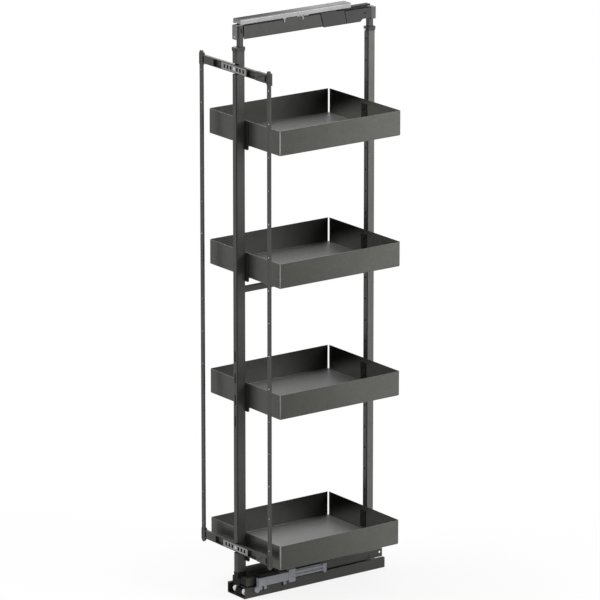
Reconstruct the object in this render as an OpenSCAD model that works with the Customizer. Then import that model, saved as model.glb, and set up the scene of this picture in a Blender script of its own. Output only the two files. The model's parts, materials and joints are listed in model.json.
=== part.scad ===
// Pull-out larder frame: four trays on a two-post frame that runs on a floor runner,
// is steadied by a ceiling rail, telescopes in height and carries a door bracket at its front.
// X runs across the cabinet, Y from front to rear, Z up. The origin lies under the middle of the floor rail.

/* [Trays] */
// Width of a tray across the cabinet
tray_w = 345; // [280:1:460]
// Length of a tray from front to rear
tray_l = 424; // [380:1:520]
// Height of the tray walls
tray_h = 72; // [70:1:110]
// Sheet thickness of the trays
tray_t = 1.5; // [0.8:0.1:2.4]
// Outer radius of the fold between floor and walls
tray_bend = 3; // [2.5:0.1:5]
// Distance of the wall ends from each tray corner
tray_slit = 4.5; // [3:0.5:10]
// Post hole of each tray, counted up from the lowest hole
tray_steps = [19, 13, 7, 0];

/* [Tray holders] */
// Thickness of the holder plate between post and tray
holder_t = 3; // [2.4:0.1:6]
// Width of the holder plate
holder_w = 46; // [36:1:90]
// Height of the holder plate
holder_h = 80; // [76:1:90]
// Reach of the holder plate below the tray
holder_drop = 12; // [11:0.5:16]
// Height of the lower holder peg below the tray
peg_drop = 7; // [5:0.5:7.5]
// Depth of the shelf under the tray's edge
shelf_d = 16; // [8:1:40]
// Thickness of the shelf under the tray's edge
shelf_t = 2.5; // [1.5:0.1:4]
// Width of the clamp plate inside the tray
clamp_w = 25; // [16:1:60]
// Thickness of the clamp plate inside the tray
clamp_t = 2; // [1:0.1:4]
// Shank diameter of the tray screws
tray_screw_d = 4; // [3:0.5:5]

/* [Posts] */
// Width of both posts
post_w = 20; // [18:0.5:24]
// Depth of the front post
front_post_d = 30; // [29:0.5:40]
// Depth of the rear post
rear_post_d = 25; // [21:0.5:40]
// Length of both posts
post_l = 1538; // [1500:1:1800]
// Wall of both posts
post_wall = 1.5; // [1:0.1:2]
// Corner radius of both posts
post_r = 3; // [2.4:0.1:5]
// Distance from the front post's face to its inner web
front_chamber = 9.5; // [8:0.1:10]
// Pitch of the tray holes
hole_pitch = 64; // [60:1:66]
// Diameter of the tray holes
hole_d = 6; // [4:0.1:8]
// Height of the lowest tray hole above the runner
first_hole_rise = 48; // [44:1:56]
// Height of the plastic foot under each post
foot_h = 13; // [8:0.5:17]
// Length of the slots in the front post
slot_l = 32; // [16:1:50]
// Width of the slots in the front post
slot_w = 4.5; // [3:0.1:8]
// Height of the bottom beam
beam_h = 18; // [14:0.5:30]
// Height of the middle strut
strut_h = 18; // [10:0.5:24]
// Width of the middle strut
strut_w = 10; // [6:0.5:18]
// Distance from tray two down to the strut's underside
strut_drop = 46; // [40:1:60]

/* [Floor rail] */
// Outer width of the floor rail
rail_w = 87; // [85:0.5:110]
// Height of the floor rail
rail_h = 32; // [30:0.5:36]
// Sheet thickness of the floor rail
rail_t = 2; // [1.5:0.1:2.5]
// Width of the inward lips of the floor rail
rail_lip = 10; // [9:0.5:12]
// Diameter of the floor screw holes
floor_hole_d = 5; // [4:0.1:7]
// Floor screw spacing across the rail
floor_hole_x = 60; // [50:1:64]
// Floor screw spacing along the rail
floor_hole_y = 400; // [300:1:410]

/* [Floor runner] */
// Outer width of the runner profile
runner_w = 72; // [70:0.5:84]
// Sheet thickness of the runner profile
runner_t = 2; // [1.2:0.1:3]
// Free height between the middle slide and the runner's ceiling
runner_gap = 3.1; // [1.5:0.1:6]
// Thickness of the middle slide's flanges and web
slide_t = 2.5; // [2:0.1:4]
// Width of the middle slide's flanges
slide_w = 58; // [56:0.5:60]
// Radius of the rollers fixed in the floor rail
rail_roller_r = 11.5; // [11:0.1:12.5]
// Radius of the rollers at the runner's rear
runner_roller_r = 11.5; // [10:0.1:13]
// Radius of the rollers at the middle slide's front
slide_roller_r = 12; // [9:0.1:13]
// Tread width of the white rollers
roller_w = 12; // [8:0.5:14]
// Axle diameter of the rollers
axle_d = 6; // [4:0.1:8]

/* [Damper] */
// Length of the damper housing
damper_l = 106; // [100:1:130]
// Height of the damper housing
damper_h = 25; // [24:0.5:30]
// Width of the damper housing
damper_w = 13; // [11:0.5:18]
// Length of the damper cylinder
cylinder_l = 98; // [90:1:120]
// Diameter of the damper cylinder
cylinder_d = 12; // [8:0.5:12.5]
// Diameter of the damper rod
rod_d = 5; // [3:0.1:6]

/* [Door bracket] */
// Width of the two door bars
bar_w = 14; // [10:0.5:20]
// Thickness of the two door bars
bar_t = 5; // [3:0.1:6]
// Distance between the centres of the two door bars
bar_spacing = 326; // [300:1:420]
// Pitch of the screw holes in the door bars
bar_pitch = 96; // [64:1:128]
// Diameter of the screw holes in the door bars
bar_hole_d = 4.5; // [3:0.1:6]
// Length of each door bar beyond the crossbar's centre
bar_end = 24; // [20:1:40]
// Height of the crossbars
crossbar_h = 24; // [22:0.5:28]
// Wall of the crossbars
crossbar_wall = 2; // [1.5:0.1:3]
// Height of the lower crossbar above the post's foot
lower_crossbar_rise = 73; // [60:1:120]
// Distance of the upper crossbar below the post's top
upper_crossbar_drop = 57; // [40:1:120]
// Length of the adjuster plates
plate_l = 120; // [100:1:124]
// Thickness of the adjuster plates
plate_t = 3.2; // [2:0.1:4]
// Side adjustment of the door bracket each way
side_play = 4; // [1:0.5:5]
// Height adjustment of the door bracket each way
lift_play = 3; // [1:0.5:5]

/* [Head] */
// Width of the head beam
head_w = 20; // [18:0.5:24]
// Height of the head beam
head_h = 40.5; // [30:0.5:50]
// Height of the head beam above the collars
head_rise = 22; // [18:0.5:60]
// Width of both inner tubes
inner_w = 14; // [10:0.5:15]
// Depth of the front inner tube
front_inner_d = 14.5; // [12:0.1:15]
// Depth of the rear inner tube
rear_inner_d = 16.5; // [12:0.5:17]
// Wall of both inner tubes
inner_wall = 1.5; // [1:0.1:2]
// Length of the inner tubes inside the posts
tube_insert = 366; // [320:1:500]
// Thickness of the collar around each post
collar_t = 2.2; // [1:0.1:3]
// Height of the collar below the post's top
collar_drop = 8; // [7:0.5:16]
// Height of the collar above the post's top
collar_cap = 4; // [2:0.5:8]

/* [Ceiling rail] */
// Outer width of the ceiling rail
ceiling_w = 36; // [34:0.5:50]
// Height of the ceiling rail
ceiling_h = 14; // [13:0.5:20]
// Sheet thickness of the ceiling rail and its slide
ceiling_t = 1.5; // [1:0.1:1.8]
// Width of the lips under the ceiling rail
ceiling_lip = 6; // [5:0.5:7]
// Radius of the ceiling rail's upper corners
ceiling_r = 4; // [3:0.1:5]
// Distance from the ceiling rail's rear end to the rear post's rear face
ceiling_setback = 92; // [60:1:110]
// Height of the ceiling rail above the head beam
ceiling_gap = 4.5; // [3.5:0.1:10]
// Diameter of the ceiling screw holes
ceiling_hole_d = 4.5; // [3:0.1:6]
// Distance from the ceiling rail's front end to its first screw hole
ceiling_hole_y0 = 90; // [40:1:110]
// Ceiling screw spacing along the rail
ceiling_hole_y = 224; // [160:1:250]

/* [Fits] */
// Free space between sliding or rolling faces
slide_gap = 0.3; // [0.25:0.05:0.5]
// Radial play of a roller on its axle
axle_play = 0.05; // [0.02:0.01:0.1]
// Free space between pieces that are fixed together
fit_gap = 0.1; // [0.05:0.01:0.2]

/* [Hidden] */
$fn = 48;

// Places along the depth, from the trays outwards
front_overhang = 2;
rear_margin = 17;
runner_front_inset = 10;
runner_rear_inset = 4;
frame_d = front_post_d + rear_post_d + tray_l + 2 * holder_t;
rail_l = frame_d - front_overhang + rear_margin;
rail_y0 = -rail_l / 2;
rail_y1 = rail_l / 2;
front_post_y0 = rail_y0 - front_overhang;
front_post_y1 = front_post_y0 + front_post_d;
tray_y = front_post_y1 + holder_t + tray_l / 2;
rear_post_y0 = tray_y + tray_l / 2 + holder_t;
rear_post_y1 = rear_post_y0 + rear_post_d;
runner_y0 = rail_y0 + runner_front_inset;
runner_y1 = rail_y1 - runner_rear_inset;

// Heights of the runner, from the floor upwards
rail_roller_gap = 1;
runner_lift = 2;
rail_roller_z = rail_t + rail_roller_gap + rail_roller_r;
slide_z0 = rail_roller_z + rail_roller_r + slide_gap;
runner_roller_z = slide_z0 + slide_t + slide_gap + runner_roller_r;
slide_top_z = runner_roller_z + runner_roller_r + slide_gap;
slide_z1 = slide_top_z + slide_t;
ceiling_z = slide_z1 + runner_gap;
slide_roller_z = ceiling_z - slide_gap - slide_roller_r;
runner_z1 = ceiling_z + runner_t;
runner_z0 = rail_h + runner_lift;
rear_roller_r = (rail_h - 2 * rail_t) / 2 - slide_gap;
rear_roller_z = rail_t + slide_gap + rear_roller_r;
rear_axle_d = 8;
rail_roller_inset = 18;
rail_roller_y = rail_y0 + rail_roller_inset;
slide_roller_inset = 15;
slide_roller_y = runner_y0 + slide_roller_inset;
slide_bracket_inset = 100;
slide_bracket_y = rail_y1 - slide_bracket_inset;
runner_roller_inset = 50;
runner_roller_y = rail_y1 - runner_roller_inset;

// Rollers and their axles
roller_margin = 1;
roller_slack = 0.6;
roller_x = slide_w / 2 - roller_w / 2 - roller_margin;
axle_end = 0.5;
axle_x = roller_x + roller_w / 2 + axle_end;
axle_clip_t = 1;
axle_clip_rim = 3;
axle_clip_d = axle_d + axle_clip_rim;
roller_hub = 2.2;
roller_cheek = 1.2;
roller_crown = 1.5;
roller_edge = 1;
rail_lip_gap = 0.5;
rear_roller_x0 = rail_w / 2 - rail_lip + rail_lip_gap;
rail_wall_gap = 1;
rear_roller_x1 = rail_w / 2 - rail_t - rail_wall_gap;
block_x = roller_x - roller_w / 2 - roller_margin;
block_cheeks = 16;
block_l = axle_d + block_cheeks;
block_cap_rim = 10;
block_cap_d = axle_d + block_cap_rim;

// Middle slide
bracket_gap = 2;
bracket_x = rear_roller_x0 - bracket_gap;
bracket_l = 20;
bracket_z0 = 8;
slide_front_inset = 4;
slide_rear_reach = 22;
flange_inset = 8;

// Rubber stop, front block, front notch and rear hole of the runner
stop_w = 44;
stop_d = 12;
stop_h = 16;
stop_r = 3;
stop_inset = 9;
runner_r = 3;
notch_l = 10;
end_block_t = 2.3;
end_block_step = 1.2;
end_block_inset = 4;
end_block_x0 = -runner_w / 2 + end_block_inset;
end_block_x1 = 4.5;
end_block_lift = 2;
end_block_z0 = slide_z0 + end_block_lift;
end_block_drop = 7;
end_block_z1 = runner_z1 - end_block_drop;
front_plate_lift = 2;
front_plate_z0 = runner_z0 + front_plate_lift;
runner_hole_d = 7;
runner_hole_inset = 9;
runner_hole_drop = 12;
rivet_t = 1.2;
rivet_rim = 4;
rivet_d = axle_d + rivet_rim;

// Heights of the frame
post_z0 = runner_z1 + foot_h;
post_z1 = post_z0 + post_l;
first_hole_z = runner_z1 + first_hole_rise;
hole_count = floor((post_z1 - collar_drop - first_hole_z - hole_d) / hole_pitch) + 1;
beam_lift = 2;
beam_r = 2;
strut_r = 1.5;
foot_inset = 1;
foot_plug_h = 10;
foot_apron_h = 6;
foot_apron_gap = 2;
foot_apron_y1 = runner_y0 - foot_apron_gap;
front_slot_steps = [6 : 9];
beam_z0 = runner_z1 + beam_lift;
lower_crossbar_z = post_z0 + lower_crossbar_rise;
upper_crossbar_z = post_z1 - upper_crossbar_drop;
crossbar_levels = [lower_crossbar_z, upper_crossbar_z];
chamber_w = post_w - 2 * post_wall;
front_tube_y0 = front_post_y0 + front_chamber + post_wall;
front_tube_y = (front_tube_y0 + front_post_y1 - post_wall) / 2;
front_tube_room = front_post_y1 - post_wall - front_tube_y0;
rear_tube_y = (rear_post_y0 + rear_post_y1) / 2;
rear_tube_room = rear_post_d - 2 * post_wall;
function tray_z(i) = first_hole_z + tray_steps[i] * hole_pitch + peg_drop;

// Tray screws and clamp plates
tray_screw_levels = [20, 46];
clamp_z0 = 8;
clamp_z1 = 60;
tray_screw_head_d = 8;
tray_screw_head_t = 2;
screw_tip = 0.4;
holder_r = 5;
shelf_margin = 6;

// Collars
collar_skirt = 4;
collar_skirt_t = collar_t / 2;
collar_screw_z = post_z1 - collar_drop / 2;
collar_screw_head_t = 2.5;

// Door bracket
crossbar_proud = 0.5;
crossbar_y0 = front_post_y0 - crossbar_proud;
crossbar_y1 = front_post_y0 + front_chamber - crossbar_proud;
notch_play = 2;
notch_h = crossbar_h + 2 * lift_play + notch_play;
plate_h = crossbar_h - 2 * crossbar_wall - 2 * slide_gap;
plate_proud = 1;
plate_y0 = crossbar_y0 - plate_proud;
recess_margin = 36;
recess_x = plate_l / 2 + side_play + recess_margin;
recess_wall = 4;
end_block_x = recess_x + recess_wall;
end_block_rim = 1;
pocket_x0 = 7;
pocket_x1 = 1;
pocket_d = 4;
pocket_margin = 3;
dimple_d = 4;
dimple_depth = 3;
dimple_pitch = 9;
dimple_step = 4;
adjuster_d = 5;
adjuster_head_d = 9.6;
adjuster_head_t = 1.3;
adjuster_sink = 1.5;
adjuster_nut_w = 12;
adjuster_nut_h = 10;
adjuster_nut_t = 1.2;
adjuster_boss_d = 14;
plate_window_pitch = 15;
plate_window_w = 8;
plate_window_h = 11;
bar_z0 = lower_crossbar_z - bar_end;
bar_z1 = upper_crossbar_z + bar_end;
bar_inset = 1;
bar_y = crossbar_y0 + bar_inset + bar_t / 2;
bar_hole_margin = 40;
bar_hole_count = floor((bar_z1 - bar_z0 - 2 * bar_hole_margin) / bar_pitch) + 1;
bar_hole_z0 = (bar_z0 + bar_z1 - (bar_hole_count - 1) * bar_pitch) / 2;
bar_flat = 0.5;
bar_round = bar_w / 2 - bar_flat;
bar_clip_rim = 4;
clip_w = bar_w + bar_clip_rim;
clip_overlap = 10;
clip_h = crossbar_h + clip_overlap;
clip_r = 2;
clip_lip = 2.5;
crossbar_x = bar_spacing / 2 - clip_w / 2;

// Head and ceiling rail
collar_z1 = post_z1 + collar_cap;
head_z0 = collar_z1 + head_rise;
head_z1 = head_z0 + head_h;
tube_z0 = post_z1 - tube_insert;
guide_h = 20;
guide_plug_h = 12;
inner_r = 1.5;
head_wall = 2;
housing_setback = 14;
housing_y1 = rear_post_y1 - housing_setback;
cap_proud = 2;
head_y1 = rear_post_y1 + cap_proud;
housing_drop = 3;
housing_lift = 4;
housing_nose = 4;
housing_step_inset = 38;
housing_step_y = housing_y1 - housing_step_inset;
housing_step_l = 8;
seam_inset = 169;
seam_y = housing_y1 - seam_inset;
seam_slant = 11;
rear_seam_inset = 87;
rear_seam_y = housing_y1 - rear_seam_inset;
rear_seam_slant = 9;
function rear_seam(z) = rear_seam_y - rear_seam_slant * (z - head_z0) / head_h;
latch_l = 30;
latch_h = 7;
latch_t = 1.5;
latch_drop = 5;
latch_inset = 1;
latch_y0 = rear_seam(head_z1 - latch_drop) + latch_inset;
housing_hole_d = 5;
housing_hole_inset = 22;
cap_rim = 0.5;
cap_drop = 5.5;
rear_top_drop = 3.5;
rear_top_z = head_z1 - rear_top_drop;
tube_slot_w = 3;
tube_slot_h = 14;
tube_slot_rise = 24;
tube_slot_z = head_z0 + tube_slot_rise;
head_bracket_inset = 2;
head_bracket_w = head_w - head_bracket_inset;
head_bracket_t = 2;
head_bracket_y1 = front_post_y1;
head_bracket_hole_d = 5;
head_bracket_hole_rise = 9;
head_bracket_hole_z = head_z0 + head_bracket_hole_rise;
stop_tab_y = front_tube_y;
stop_tab_l = 8;

// Ceiling rail, the slide inside it and the guide strip under them
ceiling_inset = 10;
ceiling_y0 = front_post_y0 + ceiling_inset;
ceiling_y1 = rear_post_y1 - ceiling_setback;
ceiling_slide_front = 8;
ceiling_slide_y0 = ceiling_y0 + ceiling_slide_front;
ceiling_slide_rear = 6;
ceiling_slide_y1 = ceiling_y1 - ceiling_slide_rear;
ceiling_rail_z0 = head_z1 + ceiling_gap;
ceiling_rail_z1 = ceiling_rail_z0 + ceiling_h;
inner_slide_w = ceiling_w - 2 * ceiling_t - 2 * slide_gap;
inner_slide_r = ceiling_r - ceiling_t - slide_gap;
lip_step = 2;
inner_slide_lip = ceiling_lip - lip_step;
inner_slide_z0 = ceiling_rail_z0 + ceiling_t + slide_gap;
inner_slide_z1 = ceiling_rail_z1 - ceiling_t - slide_gap;
guide_roller_r = inner_slide_w / 2 - ceiling_t - slide_gap;
guide_roller_z0 = inner_slide_z0 + ceiling_t + slide_gap;
guide_roller_z1 = inner_slide_z1 - ceiling_t - slide_gap;
guide_pin_d = 8;
guide_pin_seat = 10;
guide_washer_rim = 5;
guide_washer_d = guide_pin_d + guide_washer_rim;
guide_front_inset = 164;
guide_rear_inset = 109;
guide_places = [housing_y1 - guide_front_inset, housing_y1 - guide_rear_inset];
strip_play = 2;
strip_w = ceiling_w - 2 * ceiling_t - 2 * ceiling_lip - strip_play;
strip_y0 = front_post_y1;
strip_inset = 17;
strip_y1 = rear_post_y1 - strip_inset;
strip_z1 = ceiling_rail_z0 - slide_gap;
strip_clip_t = 2;
strip_clip_tab = 4;
strip_clip_tab_h = 10;
short_clip_inset = 136;
short_clip_y = seam_y - short_clip_inset;
short_clip_l = 10;
long_clip_inset = 72;
long_clip_y = seam_y - long_clip_inset;
long_clip_l = 40;
clip_notch_l = 4;
clip_notch_pitch = 10;
clip_notch_rise = 1.5;
clip_notch_z = head_z1 + clip_notch_rise;

// Damper on the right wall of the floor rail
damper_gap = 0.5;
damper_x0 = rail_w / 2 + damper_gap;
damper_x = damper_x0 + damper_w / 2;
damper_inset = 39;
damper_y0 = rail_y0 + damper_inset;
damper_y1 = damper_y0 + damper_l;
damper_lift = 2;
damper_z0 = rail_h + damper_lift;
damper_z1 = damper_z0 + damper_h;
damper_wall = 2;
rod_drop = 6.5;
rod_z = damper_z1 - rod_drop;
clip_block_l = 23;
clip_block_y1 = damper_y1 + clip_block_l;
clip_block_rim = 1;
clip_block_drop = 7;
clip_block_rise = 7;
cylinder_y1 = clip_block_y1 + cylinder_l;
cylinder_bore_l = 75;
cylinder_foot_inset = 1;
cylinder_foot_h = 6;
cylinder_groove = 1.4;
cylinder_web_w = 4;
cylinder_rib_h = 2.5;
cylinder_foot_z1 = rod_z - cylinder_d / 2 - cylinder_groove;
lug_l = 14;
lug_rise = 2;
lug_finger_y = 4;
lug_finger_l = 9;
lug_finger_h = 6;
catch_inset = 74;
catch_y = damper_y0 + catch_inset;
catch_l = 26;
catch_drop = 1;
rod_reach = 54;
first_hook_inset = 13;
second_hook_inset = 29;
last_hook_inset = 8;
hook_places = [damper_y0 + first_hook_inset, damper_y0 + second_hook_inset, damper_y1 - last_hook_inset];
hook_t = 5;
hook_l = 10;
hook_drop = 14;
hook_slot_l = 16;
hook_slot_h = 10;
hook_slot_room = 3;
hook_slot_z0 = damper_z0 - hook_drop - hook_slot_room;
boss_d = 18;
boss_t = 6;
boss_drop = 10.5;
activator_gap = 0.6;
activator_z0 = damper_z1 + activator_gap;
activator_inset = 4;
activator_y0 = damper_y0 + activator_inset;
activator_l = 70;
activator_h = 9;
activator_t = 3;
activator_slope = 20;
activator_tip = 2;

// Shapes that repeat

// Rectangle with round corners, centred
module round_rect(x, y, r) {
    square([x - 2 * r, y], center = true);
    square([x, y - 2 * r], center = true);
    for (sx = [-1, 1], sy = [-1, 1])
        translate([sx * (x / 2 - r), sy * (y / 2 - r)])
            circle(r);
}

// Profile drawn across and up, run along Y
module run_y(y0, y1) {
    translate([0, y1, 0])
        rotate([90, 0, 0])
            linear_extrude(y1 - y0)
                children();
}

// Profile drawn along the depth and up, run along X
module run_x(x0, x1) {
    translate([x0, 0, 0])
        rotate([90, 0, 90])
            linear_extrude(x1 - x0)
                children();
}

module rod_x(x0, x1, d) {
    translate([x0, 0, 0])
        rotate([0, 90, 0])
            cylinder(d = d, h = x1 - x0);
}

module rod_y(y0, y1, d) {
    translate([0, y1, 0])
        rotate([90, 0, 0])
            cylinder(d = d, h = y1 - y0);
}

// Upright slot with round ends, cut along Y
module slot_y(y0, y1, w, h) {
    for (s = [-1, 1])
        translate([0, 0, s * (h - w) / 2])
            rod_y(y0, y1, w);
    translate([-w / 2, y0, -(h - w) / 2])
        cube([w, y1 - y0, h - w]);
}

module box(x0, x1, y0, y1, z0, z1) {
    translate([x0, y0, z0])
        cube([x1 - x0, y1 - y0, z1 - z0]);
}

// Roller turning about X, with a crowned tread, a hub and recessed cheeks
module roller(r, w, bore) {
    hub_r = bore / 2 + roller_hub;
    rim = min(roller_hub, (r - hub_r) / 2);
    cheek = w / 2 - roller_cheek;
    tread = w / 2 - roller_crown;
    rotate([0, 90, 0])
        rotate_extrude()
            polygon([
                [bore / 2, -w / 2], [hub_r, -w / 2], [hub_r, -cheek], [r - rim, -cheek], [r - rim, -w / 2],
                [r - roller_edge, -w / 2], [r, -tread], [r, tread], [r - roller_edge, w / 2],
                [r - rim, w / 2], [r - rim, cheek], [hub_r, cheek], [hub_r, w / 2], [bore / 2, w / 2]
            ]);
}

// Floor rail and its fixed rollers

module rail_section() {
    fold_r = 2;
    translate([0, rail_h / 2])
        difference() {
            union() {
                round_rect(rail_w, rail_h, rail_t + fold_r);
                translate([-rail_w / 2, 0])
                    square([rail_w, rail_h / 2]);
            }
            round_rect(rail_w - 2 * rail_t, rail_h - 2 * rail_t, fold_r);
            translate([-rail_w / 2 + rail_lip, 0])
                square([rail_w - 2 * rail_lip, rail_h]);
        }
}

module cabinet_rail() {
    color("#404042")
        difference() {
            run_y(rail_y0, rail_y1)
                rail_section();
            for (sx = [-1, 1], sy = [-1, 1])
                translate([sx * floor_hole_x / 2, sy * floor_hole_y / 2, -1])
                    cylinder(d = floor_hole_d, h = rail_t + 2);
            for (y = hook_places)
                box(rail_w / 2 - rail_t - 1, rail_w / 2 + 1, y - hook_slot_l / 2, y + hook_slot_l / 2,
                    hook_slot_z0, hook_slot_z0 + hook_slot_h);
        }
}

module rail_roller_block() {
    color("#2b2b2c")
        difference() {
            union() {
                box(-block_x, block_x, rail_roller_y - block_l / 2, rail_roller_y + block_l / 2,
                    rail_t, rail_roller_z);
                translate([0, rail_roller_y, rail_roller_z])
                    rod_x(-block_x, block_x, block_cap_d);
            }
            translate([0, rail_roller_y, rail_roller_z])
                rod_x(-block_x - 1, block_x + 1, axle_d);
        }
}

module rail_front_axle() {
    color("silver")
        translate([0, rail_roller_y, rail_roller_z]) {
            rod_x(-axle_x, axle_x, axle_d);
            rod_x(axle_x, axle_x + axle_clip_t, axle_clip_d);
            rod_x(-axle_x - axle_clip_t, -axle_x, axle_clip_d);
        }
}

module rail_front_rollers() {
    color("white")
        for (s = [-1, 1])
            translate([s * roller_x, rail_roller_y, rail_roller_z])
                roller(rail_roller_r, roller_w - roller_slack, axle_d + 2 * axle_play);
}

module rail_end_stop() {
    color("#1b1b1b")
        translate([0, rail_y1 - stop_inset, rail_t])
            linear_extrude(stop_h)
                round_rect(stop_w, stop_d, stop_r);
}

// Soft-close damper

module damper_housing() {
    damper_x1 = damper_x0 + damper_w;
    color("#8b8e92")
        difference() {
            union() {
                box(damper_x0, damper_x1, damper_y0, damper_y1, damper_z0, damper_z1);
                box(damper_x0, damper_x1 + clip_block_rim, damper_y1, clip_block_y1,
                    damper_z0 - clip_block_drop, damper_z1 + clip_block_rise);
                for (y = hook_places)
                    box(damper_x0, damper_x0 + hook_t, y - hook_l / 2, y + hook_l / 2,
                        damper_z0 - hook_drop, damper_z0);
                translate([0, damper_y0, damper_z0 - boss_drop])
                    rod_x(damper_x0, damper_x0 + boss_t, boss_d);
                box(damper_x0, damper_x0 + boss_t, damper_y0, damper_y0 + boss_d / 2,
                    damper_z0 - boss_drop, damper_z0);
            }
            box(damper_x0 + damper_wall, damper_x1 - damper_wall, damper_y0 + damper_wall,
                damper_y1 - damper_wall, damper_z0 + damper_wall, damper_z1 + 1);
            translate([damper_x, 0, rod_z])
                rod_y(damper_y1 - damper_wall - 1, clip_block_y1 + 1, rod_d + 2 * slide_gap);
        }
}

module damper_cylinder() {
    foot_x0 = damper_x0 + cylinder_foot_inset;
    foot_x1 = damper_x0 + damper_w - cylinder_foot_inset;
    rib_z0 = rod_z + cylinder_d / 2 - 1;
    color("#8b8e92")
        difference() {
            union() {
                translate([damper_x, 0, rod_z])
                    rod_y(clip_block_y1, cylinder_y1, cylinder_d);
                box(foot_x0, foot_x1, clip_block_y1, cylinder_y1,
                    cylinder_foot_z1 - cylinder_foot_h, cylinder_foot_z1);
                box(damper_x - cylinder_web_w / 2, damper_x + cylinder_web_w / 2, clip_block_y1, cylinder_y1,
                    cylinder_foot_z1, rib_z0 + cylinder_rib_h);
            }
            translate([damper_x, 0, rod_z])
                rod_y(clip_block_y1 - 1, clip_block_y1 + cylinder_bore_l, rod_d + 2 * slide_gap);
        }
}

module damper_end_lug() {
    lug_z0 = cylinder_foot_z1 - cylinder_foot_h;
    finger_y0 = cylinder_y1 + lug_finger_y;
    color("#8b8e92") {
        box(damper_x0, damper_x0 + damper_w, cylinder_y1, cylinder_y1 + lug_l, lug_z0, damper_z1 + lug_rise);
        box(damper_x0, damper_x0 + damper_w, finger_y0, finger_y0 + lug_finger_l,
            lug_z0 - lug_finger_h, lug_z0);
    }
}

module damper_catch() {
    color("#55585c") {
        box(damper_x0 + damper_wall + slide_gap, damper_x0 + damper_w - damper_wall - slide_gap,
            catch_y - catch_l / 2, catch_y + catch_l / 2,
            damper_z0 + damper_wall + slide_gap, damper_z1 - catch_drop);
        translate([damper_x, 0, rod_z])
            rod_y(catch_y + catch_l / 2, clip_block_y1 + rod_reach, rod_d);
    }
}

// Middle slide, which moves half as far as the frame

module slide_section(top_flange) {
    translate([-slide_w / 2, slide_z0])
        square([slide_w, slide_t]);
    translate([-slide_t, slide_z0])
        square([2 * slide_t, slide_z1 - slide_z0]);
    if (top_flange)
        translate([-slide_w / 2, slide_top_z])
            square([slide_w, slide_t]);
}

module middle_slide_profile() {
    flange_y0 = slide_roller_y + slide_roller_r + flange_inset;
    color("#5a5a5c")
        difference() {
            union() {
                run_y(runner_y0 + slide_front_inset, flange_y0)
                    slide_section(false);
                run_y(flange_y0, runner_roller_y + slide_rear_reach)
                    slide_section(true);
            }
            translate([0, slide_roller_y, slide_roller_z])
                rod_x(-slide_w, slide_w, axle_d);
        }
}

module middle_rear_bracket() {
    color("#5a5a5c")
        difference() {
            box(-bracket_x, bracket_x, slide_bracket_y - bracket_l / 2, slide_bracket_y + bracket_l / 2,
                bracket_z0, slide_z0);
            translate([0, slide_bracket_y, rear_roller_z])
                rod_x(-bracket_x - 1, bracket_x + 1, rear_axle_d);
        }
}

module middle_rear_axle() {
    color("silver")
        translate([0, slide_bracket_y, rear_roller_z])
            rod_x(-rear_roller_x1, rear_roller_x1, rear_axle_d);
}

module middle_rear_rollers() {
    w = rear_roller_x1 - rear_roller_x0;
    color("white")
        for (s = [-1, 1])
            translate([s * (rear_roller_x0 + w / 2), slide_bracket_y, rear_roller_z])
                roller(rear_roller_r, w, rear_axle_d + 2 * axle_play);
}

module middle_front_axle() {
    color("silver")
        translate([0, slide_roller_y, slide_roller_z])
            rod_x(-axle_x, axle_x, axle_d);
}

module middle_front_rollers() {
    color("white")
        for (s = [-1, 1])
            translate([s * roller_x, slide_roller_y, slide_roller_z])
                roller(slide_roller_r, roller_w - roller_slack, axle_d + 2 * axle_play);
}

// Runner profile under the frame

module runner_section() {
    difference() {
        translate([0, (runner_z0 + runner_z1) / 2]) {
            round_rect(runner_w, runner_z1 - runner_z0, runner_r);
            translate([-runner_w / 2, (runner_z0 - runner_z1) / 2])
                square([runner_w, 2 * runner_r]);
        }
        translate([-runner_w / 2 + runner_t, runner_z0 - 1])
            square([runner_w - 2 * runner_t, ceiling_z - runner_z0 + 1]);
    }
}

module runner_profile() {
    color("#404042")
        difference() {
            run_y(runner_y0, runner_y1)
                runner_section();
            translate([0, runner_roller_y, runner_roller_z])
                rod_x(-runner_w, runner_w, axle_d);
            translate([0, runner_y1 - runner_hole_inset, runner_z1 - runner_hole_drop])
                rod_x(-runner_w, runner_w, runner_hole_d);
            box(-runner_w, -post_w / 2, runner_y0 - 1, runner_y0 + notch_l, 0, runner_z1 + 1);
        }
}

module runner_rear_axles() {
    color("silver")
        for (s = [0, 1])
            mirror([s, 0, 0])
                translate([0, runner_roller_y, runner_roller_z]) {
                    rod_x(roller_x - roller_w / 2 - roller_margin, runner_w / 2, axle_d);
                    rod_x(runner_w / 2, runner_w / 2 + rivet_t, rivet_d);
                    rod_x(roller_x + roller_w / 2, runner_w / 2 - runner_t, axle_clip_d);
                }
}

module runner_rear_rollers() {
    color("white")
        for (s = [-1, 1])
            translate([s * roller_x, runner_roller_y, runner_roller_z])
                roller(runner_roller_r, roller_w - roller_slack, axle_d + 2 * axle_play);
}

module runner_end_block() {
    block_y1 = runner_y0 + end_block_t;
    color("#151515") {
        box(end_block_x0, end_block_x1, runner_y0 - end_block_step, block_y1, end_block_z0, end_block_z1);
        box(-post_w / 2, runner_w / 2 - runner_t, runner_y0, block_y1, front_plate_z0, ceiling_z);
    }
}

module damper_activator() {
    side_x1 = runner_w / 2 + activator_t;
    top_x1 = damper_x0 + damper_w - activator_t;
    activator_y1 = activator_y0 + activator_l;
    activator_z1 = activator_z0 + activator_h;
    color("#1f2022") {
        box(runner_w / 2, side_x1, activator_y0, activator_y1 - activator_slope,
            front_plate_z0 + activator_h, activator_z1);
        run_x(side_x1, top_x1)
            polygon([
                [activator_y0, activator_z0], [activator_y1, activator_z0],
                [activator_y1, activator_z0 + activator_tip],
                [activator_y1 - activator_slope, activator_z1], [activator_y0, activator_z1]
            ]);
    }
}

// Frame: posts, beam, strut and collars

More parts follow.
